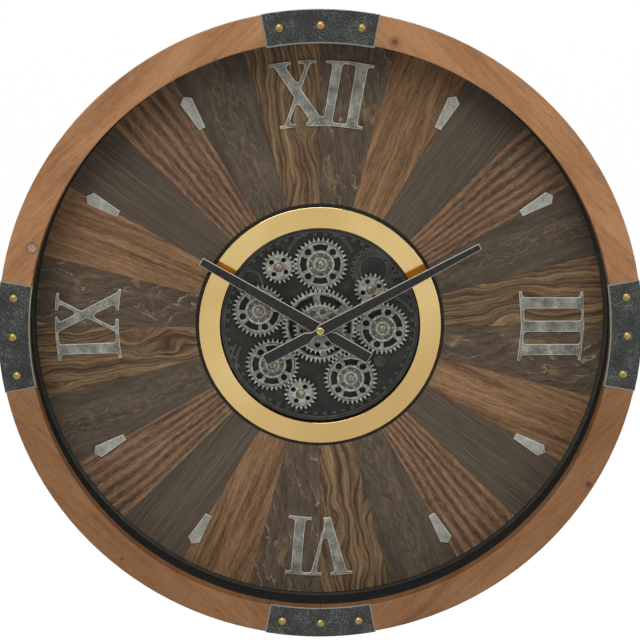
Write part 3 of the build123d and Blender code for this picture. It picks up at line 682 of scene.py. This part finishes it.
numeral_pewter = pewter_finish("numeral_pewter", pewter_dark, pewter, pewter_pale)
marker_pewter = pewter_finish("marker_pewter", pewter, marker_middle, marker_pale)
dress(rubbed_copy("roman_numerals", "numerals", numeral_edge), "case", numeral_pewter, "numeral_metal",
      "numerals")
dress(rubbed_copy("markers", "hour_markers", marker_edge), "case", marker_pewter, "numeral_metal",
      "hour_markers")

# ---- Gold ring and gear well ----
# A flat ring of polished gold-tone metal round the mouth of the well, over its black flange; it is painted
# darker towards the lower right, as painted shade.
# The well's wall is pressed steel, painted black.
ring_edge = 0.0003
ring_painted_shade = tone(188, 157, 100)

ring_gold, tree, shader = new_material("ring_gold", roughness=0.13, metallic=1.0)
right, _, up = sides_of(tree, own_place(tree))
# Painted shade: the gold is darkened towards the lower right.
low = between(tree, weighted(tree, (right, 0.6), (up, -1.0)), 0.02, 0.16)
colour = ramp(tree, cloud(tree, 9.0, detail=2.0), (0.35, tone(202, 172, 112)), (0.60, tone(214, 186, 127)))
give_colour(tree, shader, laid_over(tree, colour, ring_painted_shade, low, 0.8))
dress(eased_copy("gold_ring", "bright_ring", ring_edge), "case", ring_gold, "ring_gold", "bright_ring")

well_black, tree, shader = new_material("well_black", roughness=0.5, sheen=0.15)
give_colour(tree, shader, ramp(tree, cloud(tree, 180.0), (0.35, tone(17, 15, 13)), (0.70, tone(32, 28, 24))))
dress(eased_copy("well_wall", "gear_well", ring_edge), "case", well_black, "well_black", "gear_well")

# ---- Backplate ----
# A dark antiqued casting at the bottom of the well: raised rim, a ring of square studs, one embossed
# gear, plain arcs and a small round boss, with grey rubbed over the edges that stand proud.
clock_middle = Vector((0, 0, 0))
plate_edge = 0.0003
plate_face = 0.021
plate_relief = 0.0014
plate_rim_inner = 0.1212
plate_rim_outer = 0.1260
plate_rim_height = 0.003
stud_ring = 0.118
stud_count = 60
stud_width = 0.0042
stud_size = (stud_width, plate_relief, stud_width * 0.8)
plate_gear_middle = Vector((0.0683, 0, 0.0722))
plate_gear_hole = 0.0170
plate_gear_tip = 0.0288
plate_gear_body = plate_gear_tip * 0.86
plate_gear_teeth = 20
plate_tooth_ring = plate_gear_tip * 0.92
plate_tooth_side = plate_gear_tip * 0.16
arc_relief = plate_relief * 0.8
plate_arcs = [((0.000, 0.080), 0.043, 0.003, 290, 340), ((0.000, 0.080), 0.043, 0.003, 20, 70),
              ((-0.090, 0.055), 0.016, 0.0025, 0, 360), ((-0.062, -0.052), 0.046, 0.003, 190, 300),
              ((-0.062, -0.052), 0.053, 0.002, 190, 300), ((0.080, -0.004), 0.043, 0.003, 300, 420),
              ((0.077, -0.048), 0.0036, 0.0060, 0, 360)]
step_angle = 6
fewest_steps = 6
hollow_reach = 0.006
ring_paint_span = 0.05
ring_paint_warmth = 0.97


def metal(name, tones, roughness, scale, rings=(), rub=0.0007, rubbed=None):
    """A metal with dark paint left in its hollows and in rings about its axle, and pale rubbed edges."""
    dark, middle, pale = tones
    material, tree, shader = new_material(name, roughness, metallic=0.5, sheen=0.3)
    grain = cloud(tree, scale, detail=3.0)
    colour = ramp(tree, grain, (0.34, dark), (0.50, middle), (0.68, pale))
    hollow = node(tree, "ShaderNodeAmbientOcclusion", {"Distance": hollow_reach}, samples=6).outputs["AO"]
    colour = blend(tree, between(tree, hollow, 0.75, 0.30), colour, dark)
    facing = node(tree, "ShaderNodeNewGeometry").outputs["Normal"]
    rounded = node(tree, "ShaderNodeBevel", {"Radius": rub}, samples=6).outputs[0]
    turned_away = place_calc(tree, "DOT_PRODUCT", facing, rounded)[1]
    if rings:
        from_axle = node(tree, "ShaderNodeAttribute", attribute_name="from_axle").outputs["Vector"]
        from_axle = place_calc(tree, "LENGTH", from_axle)[1]
        stops = [(radius / ring_paint_span, (grey, grey, grey * ring_paint_warmth, 1.0))
                 for radius, grey in rings]
        ring_paint = ramp(tree, times(tree, from_axle, 1 / ring_paint_span), *stops)
        colour = blend(tree, 1.0, colour, ring_paint, "MULTIPLY")
    colour = laid_over(tree, colour, rubbed or pale, between(tree, turned_away, 0.99, 0.80), 0.9)
    give_colour(tree, shader, colour)
    relief(tree, shader, grain, depth=0.00008)
    return material


def raised_block(shape, size, place, turn):
    """Adds a block that lies on the plate, turned with the clock angle."""
    spin = Matrix.Rotation(radians(turn), 4, "Y")
    bmesh.ops.create_cube(shape, size=1.0, matrix=Matrix.Translation(place) @ spin
                          @ Matrix.Diagonal((*size, 1.0)))


def raised_ring(shape, centre, middle, width, start, end, back, front):
    """Adds a raised band that follows a circle from one clock angle to another."""
    steps = max(fewest_steps, int(abs(end - start) / step_angle))
    inner, outer = middle - width / 2, middle + width / 2
    corners = [shape.verts.new(centre + clock_place(radius, start, height))
               for radius, height in ((inner, back), (inner, front), (outer, front), (outer, back))]
    sides = [shape.edges.new(pair) for pair in zip(corners, corners[1:] + corners[:1])]
    full = abs(end - start) >= 360
    made = bmesh.ops.spin(shape, geom=corners + sides, cent=centre, axis=(0, 1, 0),
                          angle=radians(end - start), steps=steps, use_merge=full)
    if not full:
        last = [item for item in made["geom_last"] if isinstance(item, bmesh.types.BMVert)]
        shape.faces.new(corners)
        bmesh.ops.contextual_create(shape, geom=last)


plate_metal = metal("plate_metal", (tone(29, 29, 27), tone(35, 35, 33), tone(45, 45, 42)), 0.55, 60.0,
                    rub=0.0011, rubbed=tone(70, 71, 66))
plate_rubbed = metal("plate_rubbed", (tone(40, 40, 38), tone(48, 48, 45), tone(62, 62, 58)), 0.5, 70.0,
                     rub=0.0012, rubbed=tone(120, 121, 113))
dress(eased_copy("backplate", "gear_backplate", plate_edge), "case", plate_metal, "backplate_metal",
      "gear_backplate")

plate_shape = bmesh.new()
raised_ring(plate_shape, clock_middle, (plate_rim_inner + plate_rim_outer) / 2,
            plate_rim_outer - plate_rim_inner, 0, 360, plate_face, plate_face + plate_rim_height)
for stud in range(stud_count):
    stud_turn = 360 / stud_count * (stud + 0.5)
    raised_block(plate_shape, stud_size, clock_place(stud_ring, stud_turn, plate_face + plate_relief / 2),
                 stud_turn)
raised_ring(plate_shape, plate_gear_middle, (plate_gear_hole + plate_gear_body) / 2,
            plate_gear_body - plate_gear_hole, 0, 360, plate_face, plate_face + plate_relief)
for tooth in range(plate_gear_teeth):
    tooth_turn = 360 / plate_gear_teeth * tooth
    tooth_place = clock_place(plate_tooth_ring, tooth_turn, plate_face + plate_relief / 2)
    raised_block(plate_shape, (plate_tooth_side, plate_relief, plate_tooth_side),
                 plate_gear_middle + tooth_place, tooth_turn)
for (arc_x, arc_z), arc_radius, arc_width, arc_start, arc_end in plate_arcs:
    raised_ring(plate_shape, Vector((arc_x, 0, arc_z)), arc_radius, arc_width, arc_start, arc_end,
                plate_face, plate_face + arc_relief)
dress(finished("plate_relief", plate_shape), "case", plate_rubbed, "backplate_metal")

# ---- Gear train ----
# Cast wheels with antiqued silver faces: toothed rim, windows, a stepped hub with small rivets round it,
# and a round cap over the end of each axle. Dark paint is left in rings about the axle.
# A wheel has its clock angle and the turn of its holes, and a pinion its mate and its angle from it.
gear_face = 0.027
gear_edge = 0.00022
wheel_distance = 0.080
pinion_distance = 0.053
wheel_bodies = {"wheel_top": (0.4, 45), "wheel_right": (92.6, 18), "wheel_lower_right": (150.4, 46),
                "wheel_lower_left": (229.9, 48), "wheel_left": (284.1, 71)}
pinion_bodies = {"pinion_upper_left": ("wheel_top", 265.9), "pinion_bottom": ("wheel_lower_left", 136.9),
                 "pinion_upper_right": ("wheel_right", 343.5)}
wheel_hub_profile = [(0.0034, 0.0270), (0.0034, 0.0272), (0.0064, 0.0272), (0.0066, 0.0278), (0.0082, 0.0278),
                     (0.0086, 0.0274), (0.0152, 0.0274), (0.0156, 0.0278), (0.0170, 0.0278), (0.0174, 0.0270)]
wheel_bead_profile = [(0.0270, 0.0270), (0.0271, 0.0273), (0.0278, 0.0273), (0.0279, 0.0270)]
pinion_hub_profile = [(0.0034, 0.0270), (0.0034, 0.0274), (0.0060, 0.0274), (0.0064, 0.0270)]
pinion_bead_profile = [(0.0152, 0.0270), (0.0153, 0.0273), (0.0160, 0.0273), (0.0161, 0.0270)]
centre_hub_profile = [(0.0100, 0.0270), (0.0101, 0.0276), (0.0230, 0.0276), (0.0232, 0.0270)]
centre_bead_profile = [(0.0412, 0.0270), (0.0413, 0.0273), (0.0420, 0.0273), (0.0421, 0.0270)]
cap_profile = [(0.0, 0.0291), (0.0024, 0.0291), (0.0030, 0.0288), (0.0036, 0.0289), (0.0044, 0.0286),
               (0.0049, 0.0280), (0.0049, 0.0273), (0.0, 0.0273)]
cap_groups = [
    ("copper_caps", "case", ("wheel_top", "wheel_left", "pinion_upper_left", "pinion_upper_right"),
     ("axle_caps",)),
    ("brass_caps", "case", ("wheel_right", "wheel_lower_left", "pinion_bottom"), ()),
    ("drive_cap_round", "wheel_lower_right", ("wheel_lower_right",), ("drive_cap",))]
rivet_ring = 0.0126
rivet_count = 8
rivet_radius = 0.0012
rivet_lift = 0.0003
upper_face = 0.0410
upper_bead_face = 0.0415
upper_beads = [(0.0280, 0.0008), (0.0162, 0.0010), (0.0098, 0.0022)]
upper_rivet_ring = 0.0138
upper_rivet_count = 16
upper_rivet_height = 0.0411
gear_tones = (tone(108, 109, 101), tone(142, 144, 134), tone(178, 180, 170))
gear_roughness = 0.42
gear_grain = 240.0
cap_grain = 160.0
wheel_rings = [(0.0049, 0.9), (0.0053, 0.22), (0.0068, 0.22), (0.0071, 1.0), (0.0082, 0.9), (0.0086, 0.42),
               (0.0104, 0.46), (0.0108, 0.22), (0.0146, 0.24), (0.0152, 0.95), (0.0168, 0.95), (0.0174, 0.30),
               (0.0186, 0.55), (0.0268, 0.62), (0.0274, 0.9), (0.0279, 0.25), (0.0292, 0.28), (0.0300, 0.9)]
pinion_rings = [(0.0040, 0.9), (0.0052, 0.28), (0.0064, 0.30), (0.0067, 0.85), (0.0150, 0.75), (0.0161, 0.30),
                (0.0168, 0.30), (0.0175, 0.9)]
centre_rings = [(0.0225, 0.8), (0.0230, 0.30), (0.0250, 0.40), (0.0260, 0.62), (0.0395, 0.62), (0.0402, 0.28),
                (0.0412, 0.30), (0.0420, 0.9)]
upper_rings = [(0.0085, 0.85), (0.0112, 0.30), (0.0120, 0.55), (0.0158, 0.40), (0.0163, 0.9), (0.0172, 0.35),
               (0.0190, 0.55), (0.0262, 0.60), (0.0270, 0.25), (0.0277, 0.25), (0.0284, 0.9)]


def on_axle(shape, centre):
    """Notes on every corner how far it lies from the axle, for the paint left in rings."""
    from_axle = shape.verts.layers.float_vector.new("from_axle")
    for corner in shape.verts:
        corner[from_axle] = (corner.co.x - centre.x, 0.0, corner.co.z - centre.z)
    return shape


def gear_copy(name, source, centre):
    """Copies a gear with its edges eased and its place about its axle noted."""
    shape = node_shape(source)
    ease(shape, steep_edges(shape, 30), gear_edge, segments=1)
    return finished(name, on_axle(shape, centre))


def rivets(name, body, centre, ring, count, turn, height):
    """A ring of small domed rivets that ride with their wheel."""
    shape = bmesh.new()
    for rivet in range(count):
        place = centre + clock_place(ring, 360 / count * rivet + turn, height)
        bmesh.ops.create_uvsphere(shape, u_segments=8, v_segments=6, radius=rivet_radius,
                                  matrix=Matrix.Translation(place))
    dress(finished(name, shape, steep=60), body, rivet_silver, "gear_metal")


wheel_silver = metal("wheel_silver", gear_tones, gear_roughness, gear_grain, wheel_rings)
pinion_silver = metal("pinion_silver", gear_tones, gear_roughness, gear_grain, pinion_rings)
centre_silver = metal("centre_silver", gear_tones, gear_roughness, gear_grain, centre_rings)
upper_silver = metal("upper_silver", gear_tones, gear_roughness, gear_grain, upper_rings)
rivet_silver = metal("rivet_silver", gear_tones, gear_roughness, gear_grain)

places = {name: clock_place(wheel_distance, turn, 0) for name, (turn, _) in wheel_bodies.items()}
for name, (mate, turn) in pinion_bodies.items():
    places[name] = places[mate] + clock_place(pinion_distance, turn, 0)

for name, centre in places.items():
    silver = wheel_silver if name in wheel_bodies else pinion_silver
    dress(gear_copy(name + "_disc", name, centre), name, silver, "gear_metal", name)
    hub_shape = bmesh.new()
    if name in wheel_bodies:
        turned(hub_shape, wheel_hub_profile, centre, steps=48, closed=True)
        turned(hub_shape, wheel_bead_profile, centre, steps=64, closed=True)
        rivets(name + "_rivets", name, centre, rivet_ring, rivet_count,
               wheel_bodies[name][1] + 180 / rivet_count, gear_face + rivet_lift)
    else:
        turned(hub_shape, pinion_hub_profile, centre, steps=32, closed=True)
        turned(hub_shape, pinion_bead_profile, centre, steps=48, closed=True)
    dress(finished(name + "_hub", on_axle(hub_shape, centre), steep=30), name, silver, "gear_metal")

for source, silver in (("centre_wheel", centre_silver), ("centre_sleeve", centre_silver),
                       ("upper_wheel", upper_silver)):
    dress(gear_copy(source + "_disc", source, clock_middle), "centre_wheel", silver, "gear_metal", source)
centre_shape = bmesh.new()
turned(centre_shape, centre_hub_profile, clock_middle, steps=64, closed=True)
turned(centre_shape, centre_bead_profile, clock_middle, steps=96, closed=True)
dress(finished("centre_hub", on_axle(centre_shape, clock_middle), steep=30), "centre_wheel", centre_silver,
      "gear_metal")
upper_shape = bmesh.new()
for bead_radius, bead_width in upper_beads:
    raised_ring(upper_shape, clock_middle, bead_radius, bead_width, 0, 360, upper_face, upper_bead_face)
rivets("upper_rivets", "centre_wheel", clock_middle, upper_rivet_ring, upper_rivet_count, 0,
       upper_rivet_height)
dress(finished("upper_hub", on_axle(upper_shape, clock_middle), steep=30), "centre_wheel", upper_silver,
      "gear_metal")

cap_copper = metal("cap_copper", (tone(76, 64, 55), tone(112, 97, 84), tone(150, 136, 122)),
                   gear_roughness, cap_grain)
cap_brass = metal("cap_brass", (tone(72, 69, 51), tone(104, 101, 77), tone(142, 139, 110)),
                  gear_roughness, cap_grain)
for cap_name, body, cap_wheels, cap_nodes in cap_groups:
    cap_shape = bmesh.new()
    for name in cap_wheels:
        turned(cap_shape, cap_profile, places[name], steps=24)
    bmesh.ops.remove_doubles(cap_shape, verts=cap_shape.verts, dist=same_point)
    cap_metal = cap_brass if cap_name == "brass_caps" else cap_copper
    dress(finished(cap_name, cap_shape, steep=30), body, cap_metal, "cap_copper", *cap_nodes)

# ---- Hands ----
# Sheet metal hands, blackened in front, with filed bevels along their edges, painted pale as filed metal and
# as a painted highlight, and bare brass backs.
# A turned brass nut holds them on the minute shaft, which runs in the hour tube and the bush.
hand_edge = 0.00006
shaft_edge = 0.0001
hand_filed_and_highlight = tone(178, 176, 170)
hand_bare = tone(246, 196, 92)
nut_profile = [(0.0, 0.0565), (0.0046, 0.0565), (0.0046, 0.0578), (0.0038, 0.0582), (0.0038, 0.0612),
               (0.0033, 0.0622), (0.0018, 0.0627), (0.0, 0.0627)]

hand_black, tree, shader = new_material("hand_black", roughness=0.42, sheen=0.15)
backward = sides_of(tree, node(tree, "ShaderNodeNewGeometry").outputs["True Normal"])[1]
forward = times(tree, backward, -1.0)
bevel = times(tree, between(tree, forward, 0.95, 0.80), between(tree, forward, 0.30, 0.50))
colour = ramp(tree, cloud(tree, 160.0), (0.35, tone(31, 29, 26)), (0.65, tone(42, 40, 36)))
# The bevels' pale colour is partly filed metal, partly a painted highlight.
colour = blend(tree, bevel, colour, hand_filed_and_highlight)
colour = blend(tree, between(tree, backward, 0.5, 0.8), colour, hand_bare)
give_colour(tree, shader, colour)
for name, source in (("minute_blade", "minute_hand"), ("hour_blade", "hour_hand")):
    dress(eased_copy(name, source, hand_edge, segments=1, steep=20), source, hand_black, "hand_black", source)

hand_brass = metal("hand_brass", (tone(130, 112, 58), tone(190, 176, 104), tone(222, 210, 146)), 0.28, 200.0)
nut_shape = bmesh.new()
turned(nut_shape, nut_profile, clock_middle, steps=32)
bmesh.ops.remove_doubles(nut_shape, verts=nut_shape.verts, dist=same_point)
dress(finished("hands_nut", nut_shape, steep=30), "minute_hand", hand_brass, "brass", "hub_nut")
for source, body in (("minute_shaft", "minute_hand"), ("hour_tube", "hour_hand"), ("bush_nut", "case")):
    dress(eased_copy(source + "_brass", source, shaft_edge, segments=1), body, hand_brass, "brass", source)

# ---- Movement, motor and battery box ----
# Moulded black plastic housings behind the well, with the round cells in their seats, the setting knob,
# the sliding door with its grip ribs and the switch. The cells have plain grey wrappers and steel ends.
housing_edge = 0.00025
door_ribs = 7
door_rib_size = (0.0006, 0.0003, 0.012)
door_rib_step = 0.0016
door_rib_inset = 0.006
knob_middle = Vector((0, 0, 0.008))
knob_teeth = 24
knob_tooth_size = (0.0007, 0.0020, 0.0006)
knob_tooth_ring = 0.0085
knob_tooth_height = 0.0024
cell_edge = 0.0003
cell_wrapper_end = 0.0232
cell_steel_start = 0.0236

housing_plastic, tree, shader = new_material("housing_plastic", roughness=0.48)
grain = cloud(tree, 900.0, detail=2.0, rough=0.5)
give_colour(tree, shader, ramp(tree, grain, (0.3, tone(28, 28, 29)), (0.7, tone(42, 42, 43))))
relief(tree, shader, grain, depth=0.0001)
moving_housings = ("setting_knob", "battery_door", "power_switch")
for source in ("quartz_movement", "gear_motor", "battery_box", *moving_housings):
    body = source if source in moving_housings else "case"
    dress(eased_copy(source + "_shell", source, housing_edge), body, housing_plastic, "black_plastic", source)

door_low, door_high = (Vector(corner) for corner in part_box("battery_door"))
door_middle = (door_low.z + door_high.z) / 2
door_grip = bmesh.new()
for rib in range(door_ribs):
    rib_place = (door_high.x - door_rib_inset - door_rib_step * rib, door_high.y, door_middle)
    raised_block(door_grip, door_rib_size, rib_place, 0)
dress(finished("door_grip", door_grip), "battery_door", housing_plastic, "black_plastic")
knob_grip = bmesh.new()
for tooth in range(knob_teeth):
    tooth_turn = 360 / knob_teeth * tooth
    raised_block(knob_grip, knob_tooth_size,
                 knob_middle + clock_place(knob_tooth_ring, tooth_turn, knob_tooth_height), tooth_turn)
dress(finished("knob_grip", knob_grip), "setting_knob", housing_plastic, "black_plastic")

cell_paint, tree, shader = new_material("cell_paint", roughness=0.3, metallic=0.5)
from_middle = calc(tree, "ABSOLUTE", sides_of(tree, own_place(tree))[0])
cell_end = between(tree, from_middle, cell_wrapper_end, cell_steel_start)
give_colour(tree, shader, blend(tree, cell_end, tone(128, 131, 133), tone(184, 184, 180)))
for source in ("movement_cell", "battery_cells"):
    dress(eased_copy(source + "_can", source, cell_edge), "case", cell_paint, "cell_shell", source)
shaft_steel = metal("shaft_steel", (tone(90, 90, 88), tone(140, 140, 138), tone(186, 186, 182)), 0.3, 200.0)
dress(eased_copy("drive_shaft_steel", "drive_shaft", shaft_edge, segments=1), "wheel_lower_right",
      shaft_steel, "steel", "drive_shaft")
